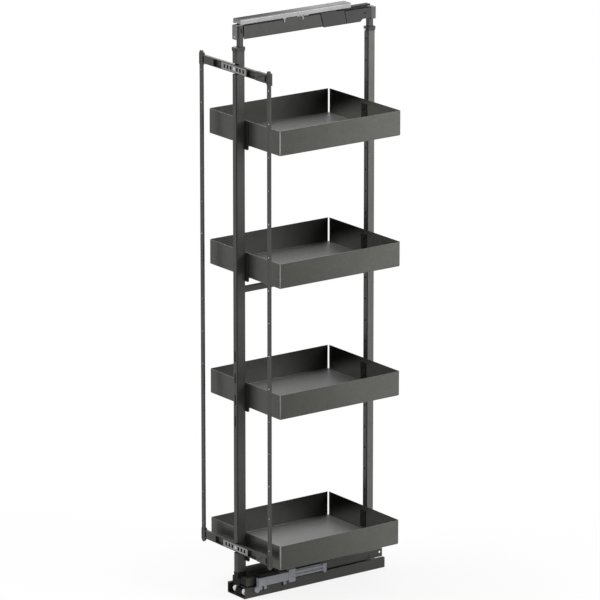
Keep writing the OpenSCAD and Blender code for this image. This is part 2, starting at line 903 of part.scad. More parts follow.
module front_post_section() {
    difference() {
        translate([0, front_post_d / 2])
            round_rect(post_w, front_post_d, post_r);
        translate([-chamber_w / 2, post_wall])
            square([chamber_w, front_chamber - post_wall]);
        translate([-chamber_w / 2, front_chamber + post_wall])
            square([chamber_w, front_tube_room]);
    }
}

// Plastic foot between the runner and a post, with a plug in the post
module post_foot(half_w, y0, y1, tube_y, room) {
    box(-half_w, half_w, y0, y1, runner_z1, post_z0);
    translate([0, tube_y, post_z0])
        linear_extrude(foot_plug_h)
            square([chamber_w - 2 * fit_gap, room - 2 * fit_gap], center = true);
}

module front_post_foot() {
    color("#151515") {
        post_foot(post_w / 2, front_post_y0, front_post_y1 - foot_inset, front_tube_y, front_tube_room);
        box(-post_w / 2, post_w / 2, front_post_y0, foot_apron_y1, runner_z1 - foot_apron_h, runner_z1);
    }
}

module rear_post_foot() {
    color("#151515")
        post_foot(post_w / 2 - foot_inset, rear_post_y0 + foot_inset, rear_post_y1 - foot_inset,
                  rear_tube_y, rear_tube_room);
}

module bottom_beam() {
    color("#4b4b4d")
        translate([0, 0, beam_z0 + beam_h / 2])
            run_y(front_post_y1, rear_post_y0)
                difference() {
                    round_rect(post_w, beam_h, beam_r);
                    square([post_w - 2 * post_wall, beam_h - 2 * post_wall], center = true);
                }
}

// Row of tray holes through the wall at y
module tray_holes(y0, y1) {
    for (k = [0 : hole_count - 1])
        translate([0, 0, first_hole_z + k * hole_pitch])
            rod_y(y0, y1, hole_d);
}

module front_post() {
    web_y0 = front_post_y0 + front_chamber;
    color("#505052")
        difference() {
            translate([0, front_post_y0, post_z0])
                linear_extrude(post_l)
                    front_post_section();
            tray_holes(front_post_y1 - post_wall - 1, front_post_y1 + 1);
            for (k = front_slot_steps)
                translate([0, 0, first_hole_z + (k + 0.5) * hole_pitch])
                    slot_y(front_post_y0 - 1, front_post_y0 + post_wall + 1, slot_w, slot_l);
            for (z = crossbar_levels) {
                box(-post_w, post_w, front_post_y0 - 1, web_y0, z - notch_h / 2, z + notch_h / 2);
                translate([0, 0, z])
                    slot_y(web_y0 - 1, web_y0 + post_wall + 1, adjuster_d + 2 * slide_gap,
                           adjuster_d + 2 * lift_play + 2 * slide_gap);
            }
            translate([0, 0, collar_screw_z])
                rod_y(front_post_y1 - post_wall - 1, front_post_y1 + 1, tray_screw_d + 2 * fit_gap);
        }
}

module rear_post() {
    color("#505052")
        difference() {
            translate([0, rear_tube_y, post_z0])
                linear_extrude(post_l)
                    difference() {
                        round_rect(post_w, rear_post_d, post_r);
                        square([chamber_w, rear_tube_room], center = true);
                    }
            tray_holes(rear_post_y0 - 1, rear_post_y0 + post_wall + 1);
            translate([0, 0, collar_screw_z])
                rod_y(rear_post_y0 - 1, rear_post_y0 + post_wall + 1, tray_screw_d + 2 * fit_gap);
        }
}

module middle_strut() {
    color("#4b4b4d")
        translate([0, 0, tray_z(1) - strut_drop + strut_h / 2])
            run_y(front_post_y1, rear_post_y0)
                difference() {
                    round_rect(strut_w, strut_h, strut_r);
                    square([strut_w - 2 * post_wall, strut_h - 2 * post_wall], center = true);
                }
}

// Plastic collar on a post, with the way for its inner tube
module collar(post_y0, post_d, tube_y, tube_d) {
    collar_z0 = post_z1 - collar_drop;
    color("#3c3c3e")
        difference() {
            translate([0, post_y0 + post_d / 2, 0]) {
                translate([0, 0, collar_z0])
                    linear_extrude(collar_skirt)
                        round_rect(post_w + 2 * collar_skirt_t, post_d + 2 * collar_skirt_t,
                                   post_r + collar_skirt_t);
                translate([0, 0, collar_z0 + collar_skirt])
                    linear_extrude(collar_drop + collar_cap - collar_skirt)
                        round_rect(post_w + 2 * collar_t, post_d + 2 * collar_t, post_r + collar_t);
            }
            translate([0, post_y0 + post_d / 2, collar_z0 - 1])
                linear_extrude(collar_drop + 1)
                    round_rect(post_w + 2 * fit_gap, post_d + 2 * fit_gap, post_r);
            translate([0, tube_y, post_z1 - 1])
                linear_extrude(collar_cap + 2)
                    square([inner_w + 2 * slide_gap, tube_d + 2 * slide_gap], center = true);
            translate([0, 0, collar_screw_z])
                rod_y(front_post_y1 - 1, rear_post_y0 + 1, tray_screw_d + 2 * fit_gap);
        }
}

module front_collar() {
    collar(front_post_y0, front_post_d, front_tube_y, front_inner_d);
}

module rear_collar() {
    collar(rear_post_y0, rear_post_d, rear_tube_y, rear_inner_d);
}

module collar_screws() {
    front_tip = front_tube_y + front_inner_d / 2 + slide_gap;
    front_seat = front_post_y1 + collar_t;
    rear_tip = rear_tube_y - rear_inner_d / 2 - slide_gap;
    rear_seat = rear_post_y0 - collar_t;
    color("silver")
        translate([0, 0, collar_screw_z]) {
            rod_y(front_tip, front_seat, tray_screw_d);
            rod_y(front_seat, front_seat + collar_screw_head_t, tray_screw_head_d);
            rod_y(rear_seat, rear_tip, tray_screw_d);
            rod_y(rear_seat - collar_screw_head_t, rear_seat, tray_screw_head_d);
        }
}

// Trays and what carries them

// Wall folded up from the floor, along Y, with its outer face at x = 0
module tray_wall(len) {
    run_y(-len / 2, len / 2) {
        translate([0, tray_bend])
            square([tray_t, tray_h - tray_bend]);
        intersection() {
            square(tray_bend);
            translate([tray_bend, tray_bend])
                difference() {
                    circle(tray_bend);
                    circle(tray_bend - tray_t);
                }
        }
    }
}

module tray(i) {
    color("#4c4c49")
        translate([0, tray_y, tray_z(i)])
            difference() {
                union() {
                    for (s = [0, 1]) {
                        rotate([0, 0, s * 180])
                            translate([-tray_w / 2, 0, 0])
                                tray_wall(tray_l - 2 * tray_slit);
                        rotate([0, 0, 90 + s * 180])
                            translate([-tray_l / 2, 0, 0])
                                tray_wall(tray_w - 2 * tray_slit);
                    }
                    box(-tray_w / 2 + tray_bend, tray_w / 2 - tray_bend, -tray_l / 2 + tray_bend,
                        tray_l / 2 - tray_bend, 0, tray_t);
                }
                for (z = tray_screw_levels)
                    translate([0, 0, z])
                        rod_y(-tray_l, tray_l, tray_screw_d + 2 * fit_gap);
            }
}

// One end of the trays: side 1 is the rear, side -1 the front, with local +Y outwards
module tray_end(side, i) {
    translate([0, tray_y, tray_z(i)])
        rotate([0, 0, side > 0 ? 0 : 180])
            translate([0, tray_l / 2, 0])
                children();
}

module tray_holder() {
    difference() {
        union() {
            translate([0, 0, holder_h / 2 - holder_drop])
                run_y(0, holder_t)
                    round_rect(holder_w, holder_h, holder_r);
            box(-holder_w / 2 + shelf_margin, holder_w / 2 - shelf_margin, -shelf_d, holder_t, -shelf_t, 0);
            for (z = [-peg_drop, hole_pitch - peg_drop])
                translate([0, 0, z])
                    rod_y(holder_t, holder_t + post_wall, hole_d - 2 * fit_gap);
        }
        for (z = tray_screw_levels)
            translate([0, 0, z])
                rod_y(-1, holder_t - screw_tip, tray_screw_d + 2 * fit_gap);
    }
}

module front_tray_holders() {
    color("#2f2f30")
        for (i = [0 : len(tray_steps) - 1])
            tray_end(-1, i)
                tray_holder();
}

module rear_tray_holders() {
    color("#2f2f30")
        for (i = [0 : len(tray_steps) - 1])
            tray_end(1, i)
                tray_holder();
}

module tray_clamp_plates() {
    color("#2f2f30")
        for (side = [-1, 1], i = [0 : len(tray_steps) - 1])
            tray_end(side, i)
                difference() {
                    box(-clamp_w / 2, clamp_w / 2, -tray_t - clamp_t, -tray_t, clamp_z0, clamp_z1);
                    for (z = tray_screw_levels)
                        translate([0, 0, z])
                            rod_y(-tray_t - clamp_t - 1, 1, tray_screw_d + 2 * fit_gap);
                }
}

module tray_screws() {
    head_y = -tray_t - clamp_t;
    color("#3a3a3c")
        for (side = [-1, 1], i = [0 : len(tray_steps) - 1], z = tray_screw_levels)
            tray_end(side, i)
                translate([0, 0, z]) {
                    rod_y(head_y, holder_t - screw_tip - fit_gap, tray_screw_d);
                    rod_y(head_y - tray_screw_head_t, head_y, tray_screw_head_d);
                }
}

// Door bracket

module crossbar(z) {
    half_h = crossbar_h / 2;
    back_y = crossbar_y1 - crossbar_wall;
    color("#454547")
        translate([0, 0, z])
            difference() {
                union() {
                    box(-crossbar_x, crossbar_x, crossbar_y0, crossbar_y1, -half_h, half_h);
                    box(end_block_x, crossbar_x, crossbar_y0, crossbar_y1,
                        -half_h - end_block_rim, half_h + end_block_rim);
                }
                box(-recess_x, recess_x, crossbar_y0 - 1, back_y,
                    -half_h + crossbar_wall, half_h - crossbar_wall);
                rotate([0, 90, 0])
                    slot_y(back_y - 1, crossbar_y1 + 1, adjuster_d + 2 * slide_gap,
                           adjuster_d + 2 * side_play + 2 * slide_gap);
                for (s = [0, 1])
                    mirror([s, 0, 0])
                        box(crossbar_x - pocket_x0, crossbar_x - pocket_x1,
                            crossbar_y0 - 1, crossbar_y0 + pocket_d,
                            -half_h + pocket_margin, half_h - pocket_margin);
                for (k = [0 : 2])
                    translate([end_block_x + (k + 1) * dimple_pitch, 0, (k - 1) * dimple_step])
                        rod_y(crossbar_y0 - 1, crossbar_y0 + dimple_depth, dimple_d);
            }
}

module upper_crossbar() {
    crossbar(upper_crossbar_z);
}

module lower_crossbar() {
    crossbar(lower_crossbar_z);
}

// Flat bar with round ends and a row of screw holes
module door_bar(x) {
    color("#505052")
        difference() {
            translate([x, 0, (bar_z0 + bar_z1) / 2])
                run_y(bar_y - bar_t / 2, bar_y + bar_t / 2)
                    round_rect(bar_w, bar_z1 - bar_z0, bar_round);
            for (k = [0 : bar_hole_count - 1])
                translate([x, 0, bar_hole_z0 + k * bar_pitch])
                    rod_y(bar_y - bar_t, bar_y + bar_t, bar_hole_d);
        }
}

module left_door_bar() {
    door_bar(-bar_spacing / 2);
}

module right_door_bar() {
    door_bar(bar_spacing / 2);
}

module door_bar_clips() {
    color("#3c3c3e")
        for (s = [0, 1], z = crossbar_levels)
            mirror([s, 0, 0])
                translate([bar_spacing / 2, 0, z])
                    difference() {
                        translate([0, (crossbar_y0 + crossbar_y1) / 2, -clip_h / 2])
                            linear_extrude(clip_h)
                                round_rect(clip_w, crossbar_y1 - crossbar_y0, clip_r);
                        box(-bar_w / 2 - fit_gap, bar_w / 2 + fit_gap, bar_y - bar_t / 2 - fit_gap,
                            bar_y + bar_t / 2 + fit_gap, -clip_h, clip_h);
                        box(-bar_w / 2 + clip_lip, bar_w / 2 - clip_lip, crossbar_y0 - 1, bar_y,
                            -clip_h, clip_h);
                    }
}

module adjuster_plates() {
    plate_y1 = plate_y0 + plate_t;
    boss_y1 = crossbar_y1 - crossbar_wall - slide_gap;
    color("#b4b6b8")
        for (z = crossbar_levels)
            translate([0, 0, z])
                difference() {
                    union() {
                        box(-plate_l / 2, plate_l / 2, plate_y0, plate_y1, -plate_h / 2, plate_h / 2);
                        rod_y(plate_y1, boss_y1, adjuster_boss_d);
                    }
                    rod_y(plate_y0 - 1, boss_y1 + 1, adjuster_d + 2 * fit_gap);
                    rod_y(plate_y0 - 1, plate_y0 + adjuster_sink, adjuster_head_d + 4 * fit_gap);
                    for (s = [-1, 1], k = [1 : 3])
                        translate([s * k * plate_window_pitch, 0, 0])
                            box(-plate_window_w / 2, plate_window_w / 2, plate_y0 - 1, plate_y1 + 1,
                                -plate_window_h / 2, plate_window_h / 2);
                }
}

module adjuster_screws() {
    seat_y = plate_y0 + adjuster_sink;
    web_y1 = front_post_y0 + front_chamber + post_wall;
    color("#9a9c9e")
        for (z = crossbar_levels)
            translate([0, 0, z]) {
                rod_y(seat_y, web_y1 + adjuster_nut_t, adjuster_d);
                rod_y(seat_y - adjuster_head_t, seat_y, adjuster_head_d);
                box(-adjuster_nut_w / 2, adjuster_nut_w / 2, web_y1 + fit_gap, web_y1 + adjuster_nut_t,
                    -adjuster_nut_h / 2, adjuster_nut_h / 2);
            }
}

// Telescoping head

module inner_tube(y, d, z1) {
    translate([0, y, tube_z0])
        linear_extrude(z1 - tube_z0)
            difference() {
                round_rect(inner_w, d, inner_r);
                square([inner_w - 2 * inner_wall, d - 2 * inner_wall], center = true);
            }
}

module front_inner_tube() {
    color("#464648")
        difference() {
            inner_tube(front_tube_y, front_inner_d, head_z1);
            box(0, inner_w, front_tube_y - tube_slot_w / 2, front_tube_y + tube_slot_w / 2,
                tube_slot_z - tube_slot_h / 2, tube_slot_z + tube_slot_h / 2);
        }
}

module rear_inner_tube() {
    color("#464648")
        inner_tube(rear_tube_y, rear_inner_d, head_z0 + housing_lift);
}

// Sliding block under the end of an inner tube
module tube_guide(y, d, room) {
    translate([0, y, tube_z0 - guide_h])
        linear_extrude(guide_h)
            square([chamber_w - 2 * slide_gap, room - 2 * slide_gap], center = true);
    translate([0, y, tube_z0])
        linear_extrude(guide_plug_h)
            square([inner_w - 2 * inner_wall - 2 * fit_gap, d - 2 * inner_wall - 2 * fit_gap], center = true);
}

module inner_tube_guides() {
    color("#151515") {
        tube_guide(front_tube_y, front_inner_d, front_tube_room);
        tube_guide(rear_tube_y, rear_inner_d, rear_tube_room);
    }
}

module head_beam() {
    y0 = front_tube_y + front_inner_d / 2;
    color("#454547")
        difference() {
            run_x(-head_w / 2, head_w / 2)
                polygon([[y0, head_z0], [seam_y, head_z0], [seam_y - seam_slant, head_z1], [y0, head_z1]]);
            box(-head_w / 2 + head_wall, head_w / 2 - head_wall, y0 - 1, seam_y + 1,
                head_z0 - 1, head_z1 - head_wall);
        }
}

module head_front_bracket() {
    y0 = front_post_y0;
    half_w = head_bracket_w / 2;
    plate_z1 = head_z1 + head_bracket_t;
    color("#c4c6c8")
        difference() {
            union() {
                box(-half_w, half_w, y0, y0 + head_bracket_t, head_z0 + 1, head_z1);
                box(-half_w, half_w, y0, head_bracket_y1, head_z1, plate_z1);
                for (s = [0, 1])
                    mirror([s, 0, 0])
                        box(half_w - head_bracket_t, half_w,
                            stop_tab_y - stop_tab_l / 2, stop_tab_y + stop_tab_l / 2, plate_z1, strip_z1);
            }
            translate([0, 0, head_bracket_hole_z])
                rod_y(y0 - 1, y0 + head_bracket_t + 1, head_bracket_hole_d);
        }
}

module head_mid_housing() {
    under_z = head_z0 - housing_drop;
    color("#3c3c3e")
        difference() {
            run_x(-head_w / 2, head_w / 2)
                polygon([
                    [seam_y + fit_gap, head_z0], [seam_y + housing_nose, under_z],
                    [rear_seam(under_z) - fit_gap, under_z], [rear_seam(head_z1) - fit_gap, head_z1],
                    [seam_y - seam_slant + fit_gap, head_z1]
                ]);
            for (y = guide_places)
                translate([0, y, head_z1 - guide_pin_seat])
                    cylinder(d = guide_pin_d, h = guide_pin_seat + 1);
        }
}

module head_rear_housing() {
    under_z = head_z0 - housing_drop;
    rear_z = head_z0 + housing_lift;
    latch_z1 = head_z1 - latch_drop;
    color("#3e3e40")
        difference() {
            union() {
                run_x(-head_w / 2, head_w / 2)
                    polygon([
                        [rear_seam(under_z), under_z], [housing_step_y, under_z],
                        [housing_step_y + housing_step_l, rear_z], [housing_y1, rear_z],
                        [housing_y1, rear_top_z], [rear_seam(rear_top_z), rear_top_z]
                    ]);
                box(head_w / 2, head_w / 2 + latch_t, latch_y0, latch_y0 + latch_l,
                    latch_z1 - latch_h, latch_z1);
            }
            translate([0, housing_y1 - housing_hole_inset, (head_z0 + head_z1) / 2])
                rod_x(-head_w, head_w, housing_hole_d);
        }
}

module head_end_cap() {
    half_w = head_w / 2 + cap_rim;
    color("#707275")
        difference() {
            box(-half_w, half_w, housing_y1, head_y1, head_z0, head_z1 - cap_drop);
            box(-inner_w / 2 - fit_gap, inner_w / 2 + fit_gap, housing_y1 - 1,
                rear_tube_y + rear_inner_d / 2 + fit_gap, head_z0 - 1, head_z0 + housing_lift);
        }
}

module head_guide_strip() {
    color("#161617")
        difference() {
            box(-strip_w / 2, strip_w / 2, strip_y0, strip_y1, head_z1, strip_z1);
            for (y = guide_places)
                translate([0, y, head_z1 - 1])
                    cylinder(d = guide_pin_d, h = strip_z1 - head_z1 + 2);
        }
}

// Pair of clips beside the guide strip, folded down over the edges of the head beam
module strip_clip(y, len, notches) {
    clip_x0 = strip_w / 2 + fit_gap;
    clip_x1 = head_w / 2 + strip_clip_t;
    for (s = [0, 1])
        mirror([s, 0, 0])
            translate([0, y, 0]) {
                difference() {
                    box(clip_x0, clip_x1, -len / 2, len / 2, head_z1, strip_z1);
                    for (k = [0 : 1 : notches - 1])
                        translate([0, (k - (notches - 1) / 2) * clip_notch_pitch, 0])
                            box(clip_x0 - 1, clip_x1 + 1, -clip_notch_l / 2, clip_notch_l / 2,
                                clip_notch_z, strip_z1 + 1);
                }
                box(head_w / 2, clip_x1, -strip_clip_tab / 2, strip_clip_tab / 2,
                    head_z1 - strip_clip_tab_h, head_z1);
            }
}

module strip_clips() {
    color("#b4b6b8") {
        strip_clip(short_clip_y, short_clip_l, 0);
        strip_clip(long_clip_y, long_clip_l, 3);
    }
}

module head_guide_pins() {
    color("silver")
        for (y = guide_places)
            translate([0, y, 0]) {
                translate([0, 0, head_z1 - guide_pin_seat])
                    cylinder(d = guide_pin_d, h = guide_roller_z1 - head_z1 + guide_pin_seat);
                translate([0, 0, strip_z1])
                    cylinder(d = guide_washer_d, h = guide_roller_z0 - slide_gap - strip_z1);
            }
}

module guide_roller(y) {
    color("white")
        translate([0, y, guide_roller_z0])
            difference() {
                cylinder(r = guide_roller_r, h = guide_roller_z1 - guide_roller_z0);
                translate([0, 0, -1])
                    cylinder(d = guide_pin_d + 2 * axle_play, h = ceiling_h);
            }
}

module front_guide_roller() {
    guide_roller(guide_places[0]);
}

module rear_guide_roller() {
    guide_roller(guide_places[1]);
}

// Ceiling rail and the slide nested in it

// Channel open downwards, with inward lips; z0 and z1 are its lowest and highest faces, r rounds its top
module lipped_channel(w, z0, z1, lip, r) {
    mid_z = (z0 + z1) / 2;
    difference() {
        union() {
            translate([0, mid_z])
                round_rect(w, z1 - z0, r);
            translate([-w / 2, z0])
                square([w, mid_z - z0]);
        }
        translate([0, mid_z])
            round_rect(w - 2 * ceiling_t, z1 - z0 - 2 * ceiling_t, r - ceiling_t);
        translate([-w / 2 + ceiling_t, z0 + ceiling_t])
            square([w - 2 * ceiling_t, mid_z - z0 - ceiling_t]);
        translate([-w / 2 + ceiling_t + lip, z0 - 1])
            square([w - 2 * ceiling_t - 2 * lip, mid_z - z0 + 1]);
    }
}

module ceiling_slide() {
    color("#d0d2d4")
        run_y(ceiling_slide_y0, ceiling_slide_y1)
            lipped_channel(inner_slide_w, inner_slide_z0, inner_slide_z1, inner_slide_lip, inner_slide_r);
}

module ceiling_rail() {
    hole_y = ceiling_y0 + ceiling_hole_y0;
    color("#e0e1e2")
        difference() {
            run_y(ceiling_y0, ceiling_y1)
                lipped_channel(ceiling_w, ceiling_rail_z0, ceiling_rail_z1, ceiling_lip, ceiling_r);
            for (y = [hole_y, hole_y + ceiling_hole_y])
                translate([0, y, ceiling_rail_z1 - ceiling_t - 1])
                    cylinder(d = ceiling_hole_d, h = ceiling_t + 2);
        }
}

cabinet_rail();
rail_roller_block();
rail_front_axle();
rail_front_rollers();
rail_end_stop();
damper_housing();
damper_cylinder();
damper_end_lug();
damper_catch();
middle_slide_profile();
middle_rear_bracket();
middle_rear_axle();
middle_rear_rollers();
middle_front_axle();
middle_front_rollers();
runner_profile();
runner_rear_axles();
runner_rear_rollers();
runner_end_block();
damper_activator();
front_post_foot();
rear_post_foot();
bottom_beam();
front_post();
rear_post();
middle_strut();
front_collar();
rear_collar();
collar_screws();
tray(0);  // tray_1
tray(1);  // tray_2
tray(2);  // tray_3
tray(3);  // tray_4
front_tray_holders();
rear_tray_holders();
tray_clamp_plates();
tray_screws();
upper_crossbar();
lower_crossbar();
left_door_bar();
right_door_bar();
door_bar_clips();
adjuster_plates();
adjuster_screws();
front_inner_tube();
rear_inner_tube();
inner_tube_guides();
head_beam();
head_front_bracket();
head_mid_housing();
head_rear_housing();
head_end_cap();
head_guide_strip();
strip_clips();
head_guide_pins();
front_guide_roller();
rear_guide_roller();
ceiling_slide();
ceiling_rail();
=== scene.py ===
"""Looks of the pull-out pantry frame: rounded edges, finishes, studio light and camera."""

import json
import math

import bmesh
import bpy
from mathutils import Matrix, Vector


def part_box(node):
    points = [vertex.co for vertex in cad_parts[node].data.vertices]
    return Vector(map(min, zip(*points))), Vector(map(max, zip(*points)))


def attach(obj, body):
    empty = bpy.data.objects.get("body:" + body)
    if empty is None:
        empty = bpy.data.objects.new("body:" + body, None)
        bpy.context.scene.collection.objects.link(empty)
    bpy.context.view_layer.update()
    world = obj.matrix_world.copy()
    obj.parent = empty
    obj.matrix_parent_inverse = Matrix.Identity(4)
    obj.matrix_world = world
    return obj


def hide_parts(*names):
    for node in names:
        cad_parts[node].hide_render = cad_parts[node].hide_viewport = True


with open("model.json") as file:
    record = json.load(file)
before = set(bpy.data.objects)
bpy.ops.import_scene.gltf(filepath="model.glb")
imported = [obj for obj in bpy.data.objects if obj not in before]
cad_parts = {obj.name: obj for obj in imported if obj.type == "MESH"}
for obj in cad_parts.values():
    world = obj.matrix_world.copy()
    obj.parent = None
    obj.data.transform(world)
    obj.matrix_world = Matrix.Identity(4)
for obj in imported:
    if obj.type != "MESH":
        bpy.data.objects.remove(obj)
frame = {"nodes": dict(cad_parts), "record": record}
scene = bpy.context.scene
NODES = frame["nodes"]
RECORD = frame["record"]
BODY = {n: b for b, members in RECORD["behaviour"]["bodies"].items() for n in members}
SLOT = {p["node"]: p["material_slot"] for p in RECORD["subparts"]}
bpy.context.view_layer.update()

# Camera at the photograph's viewpoint
CAMERA_PLACE = Vector((12.1179, -8.8449, 5.0096))
CAMERA_AZIMUTH = math.radians(53.9486)
CAMERA_ELEVATION = math.radians(15.5261)
CAMERA_LENS = 326.69
CAMERA_SENSOR = 36.0
CAMERA_NEAR = 0.1
CAMERA_FAR = 200.0


def make_camera():
    data = bpy.data.cameras.new("camera")
    data.lens = CAMERA_LENS
    data.sensor_width = CAMERA_SENSOR
    data.clip_start = CAMERA_NEAR
    data.clip_end = CAMERA_FAR
    camera = bpy.data.objects.new("camera", data)
    scene.collection.objects.link(camera)
    flat = math.cos(CAMERA_ELEVATION)
    ahead = -Vector((
        math.sin(CAMERA_AZIMUTH) * flat,
        -math.cos(CAMERA_AZIMUTH) * flat,
        math.sin(CAMERA_ELEVATION),
    ))
    camera.location = CAMERA_PLACE
    camera.rotation_mode = "QUATERNION"
    camera.rotation_quaternion = ahead.to_track_quat("-Z", "Y")
    scene.camera = camera


# Node tools for the finishes

NOISE_LOW = 0.3
NOISE_HIGH = 0.7
NOISE_ROUGHNESS = 0.6


def add(tree, kind, **sockets):
    node = tree.nodes.new(kind)
    for name, value in sockets.items():
        node.inputs[name.replace("_", " ")].default_value = value
    return node


def operate(tree, kind, operation):
    node = tree.nodes.new(kind)
    node.operation = operation
    return node


def bare_tree(owner, output):
    """An empty node tree with its output node."""
    owner.use_nodes = True
    tree = owner.node_tree
    tree.nodes.clear()
    return tree, tree.nodes.new(output)


def new_finish(name):
    finish = bpy.data.materials.new(name)
    tree, out = bare_tree(finish, "ShaderNodeOutputMaterial")
    shader = tree.nodes.new("ShaderNodeBsdfPrincipled")
    tree.links.new(shader.outputs["BSDF"], out.inputs["Surface"])
    return finish, tree, shader


def own_place(tree):
    """The point on the part, in its own metres."""
    return tree.nodes.new("ShaderNodeTexCoord").outputs["Object"]


def grain(tree, scale, detail=3.0, stretch=(1.0, 1.0, 1.0)):
    """Noise in the part's own metres; stretch shortens it along an axis."""
    mapping = add(tree, "ShaderNodeMapping", Scale=stretch)
    noise = add(
        tree, "ShaderNodeTexNoise", Scale=scale, Detail=detail, Roughness=NOISE_ROUGHNESS
    )
    tree.links.new(own_place(tree), mapping.inputs["Vector"])
    tree.links.new(mapping.outputs["Vector"], noise.inputs["Vector"])
    return noise.outputs["Fac"]


def spread(tree, value, low, high):
    """The noise's middle range drawn out between two numbers."""
    node = add(
        tree, "ShaderNodeMapRange",
        From_Min=NOISE_LOW, From_Max=NOISE_HIGH, To_Min=low, To_Max=high,
    )
    tree.links.new(value, node.inputs["Value"])
    return node.outputs["Result"]


def shade(tree, colour, *factors):
    """The colour times each factor."""
    last = None
    for factor in factors:
        node = operate(tree, "ShaderNodeVectorMath", "SCALE")
        if last is None:
            node.inputs[0].default_value = colour
        else:
            tree.links.new(last, node.inputs[0])
        tree.links.new(factor, node.inputs["Scale"])
        last = node.outputs["Vector"]
    return last


def fading(tree, direction, start, end, low, high):
    """A factor that goes smoothly from low to high along a direction on the part."""
    along = operate(tree, "ShaderNodeVectorMath", "DOT_PRODUCT")
    along.inputs[1].default_value = direction
    node = add(
        tree, "ShaderNodeMapRange", From_Min=start, From_Max=end, To_Min=low, To_Max=high
    )
    node.interpolation_type = "SMOOTHSTEP"
    tree.links.new(own_place(tree), along.inputs[0])
    tree.links.new(along.outputs["Value"], node.inputs["Value"])
    return node.outputs["Result"]


def bump(tree, shader, height, strength, distance):
    node = add(tree, "ShaderNodeBump", Strength=strength, Distance=distance)
    tree.links.new(height, node.inputs["Height"])
    tree.links.new(node.outputs["Normal"], shader.inputs["Normal"])


# Scales of the noise in the finishes, from broad clouds to fine texture
COAT_CLOUD = 14.0
COAT_ROUGH = 60.0
COAT_FLAKE = 420.0
COAT_PEEL = 900.0
METAL_STREAK = 22.0
METAL_CLOUD = 30.0
PLASTIC_CLOUD = 45.0
PLASTIC_ROUGH = 300.0
PLASTIC_SPARK = 1600.0
ROLLED_ALONG_Y = (60.0, 1.0, 60.0)
COAT_GLOSS = 0.25


def metallic_coat(name, colour, metallic, roughness, flake=0.16, fade=None):
    """Satin metallic powder coat: cloudy tone, fine flakes and orange peel."""
    finish, tree, shader = new_finish(name)
    factors = [
        spread(tree, grain(tree, COAT_CLOUD), 0.95, 1.05),
        spread(tree, grain(tree, COAT_FLAKE, 4.0), 1.0 - flake, 1.0 + flake),
    ]
    # An optional tone fade along the part, used for painted sheen, reflection and shade on the
    # trays
    if fade:
        factors.append(fading(tree, *fade))
    tree.links.new(shade(tree, colour, *factors), shader.inputs["Base Color"])
    rough = spread(tree, grain(tree, COAT_ROUGH), roughness - 0.04, roughness + 0.04)
    tree.links.new(rough, shader.inputs["Roughness"])
    bump(tree, shader, grain(tree, COAT_PEEL, 2.0), 0.06, 0.0001)
    shader.inputs["Metallic"].default_value = metallic
    shader.inputs["Specular IOR Level"].default_value = COAT_GLOSS
    return finish


def rolled_metal(name, colour, roughness, rim=1.0, fade=None):
    """Plated or bright metal with fine streaks along the part; rim dulls flat angles."""
    finish, tree, shader = new_finish(name)
    streak = grain(tree, METAL_STREAK, 6.0, ROLLED_ALONG_Y)
    factors = [
        spread(tree, grain(tree, METAL_CLOUD), 0.9, 1.08),
        spread(tree, streak, 0.88, 1.06),
    ]
    # An optional tone fade along the part, used for the painted reflection on the ceiling
    # rail's top
    if fade:
        factors.append(fading(tree, *fade))
    tree.links.new(shade(tree, colour, *factors), shader.inputs["Base Color"])
    rough = spread(tree, streak, roughness - 0.06, roughness + 0.08)
    tree.links.new(rough, shader.inputs["Roughness"])
    bump(tree, shader, streak, 0.08, 0.0002)
    shader.inputs["Metallic"].default_value = 1.0
    shader.inputs["Specular Tint"].default_value = (rim, rim, rim, 1.0)
    return finish


def moulded(name, colour, roughness, gloss=0.5):
    """Moulded plastic with a fine spark-eroded texture."""
    finish, tree, shader = new_finish(name)
    cloud = spread(tree, grain(tree, PLASTIC_CLOUD), 0.92, 1.08)
    tree.links.new(shade(tree, colour, cloud), shader.inputs["Base Color"])
    rough = spread(tree, grain(tree, PLASTIC_ROUGH), roughness - 0.05, roughness + 0.05)
    tree.links.new(rough, shader.inputs["Roughness"])
    bump(tree, shader, grain(tree, PLASTIC_SPARK, 2.0), 0.15, 0.0002)
    shader.inputs["Specular IOR Level"].default_value = gloss
    return finish


# Finishes by material slot; a coat has its colour, share of metal and roughness
TRAY_COAT = ((0.076, 0.077, 0.070), 0.60, 0.34)
# Tray floors: the walls' own sheet, given a paler and more neutral coat as a painted sheen
FLOOR_SHEEN_COAT = ((0.134, 0.134, 0.133), 0.20, 0.42)
ZINC = ((0.25, 0.25, 0.25), 0.50, 0.30)
FINISHES = {
    "dark_steel": metallic_coat("dark_steel", (0.058, 0.058, 0.055), 0.50, 0.36),
    "tray_steel": metallic_coat("tray_steel", *TRAY_COAT),
    "holder_steel": metallic_coat("holder_steel", (0.040, 0.040, 0.039), 0.50, 0.40, 0.10),
    "rail_steel": metallic_coat("rail_steel", (0.050, 0.050, 0.047), 0.55, 0.40, 0.10),
    "zinc": rolled_metal("zinc", *ZINC),
    "plate_zinc": rolled_metal("plate_zinc", (0.26, 0.26, 0.26), 0.36),
    "bright_steel": rolled_metal("bright_steel", (0.60, 0.60, 0.61), 0.30),
    "black_screw": metallic_coat("black_screw", (0.040, 0.040, 0.042), 0.60, 0.35, 0.06),
    "white_nylon": moulded("white_nylon", (0.86, 0.86, 0.84), 0.42),
    "black_plastic": moulded("black_plastic", (0.009, 0.009, 0.010), 0.50, 0.10),
    "grey_plastic": moulded("grey_plastic", (0.25, 0.26, 0.28), 0.42, 0.4),
    "cap_plastic": moulded("cap_plastic", (0.096, 0.096, 0.097), 0.50, 0.3),
    "dark_plastic": moulded("dark_plastic", (0.036, 0.036, 0.036), 0.48, 0.28),
    "buffer_rubber": moulded("buffer_rubber", (0.016, 0.016, 0.016), 0.75, 0.2),
}
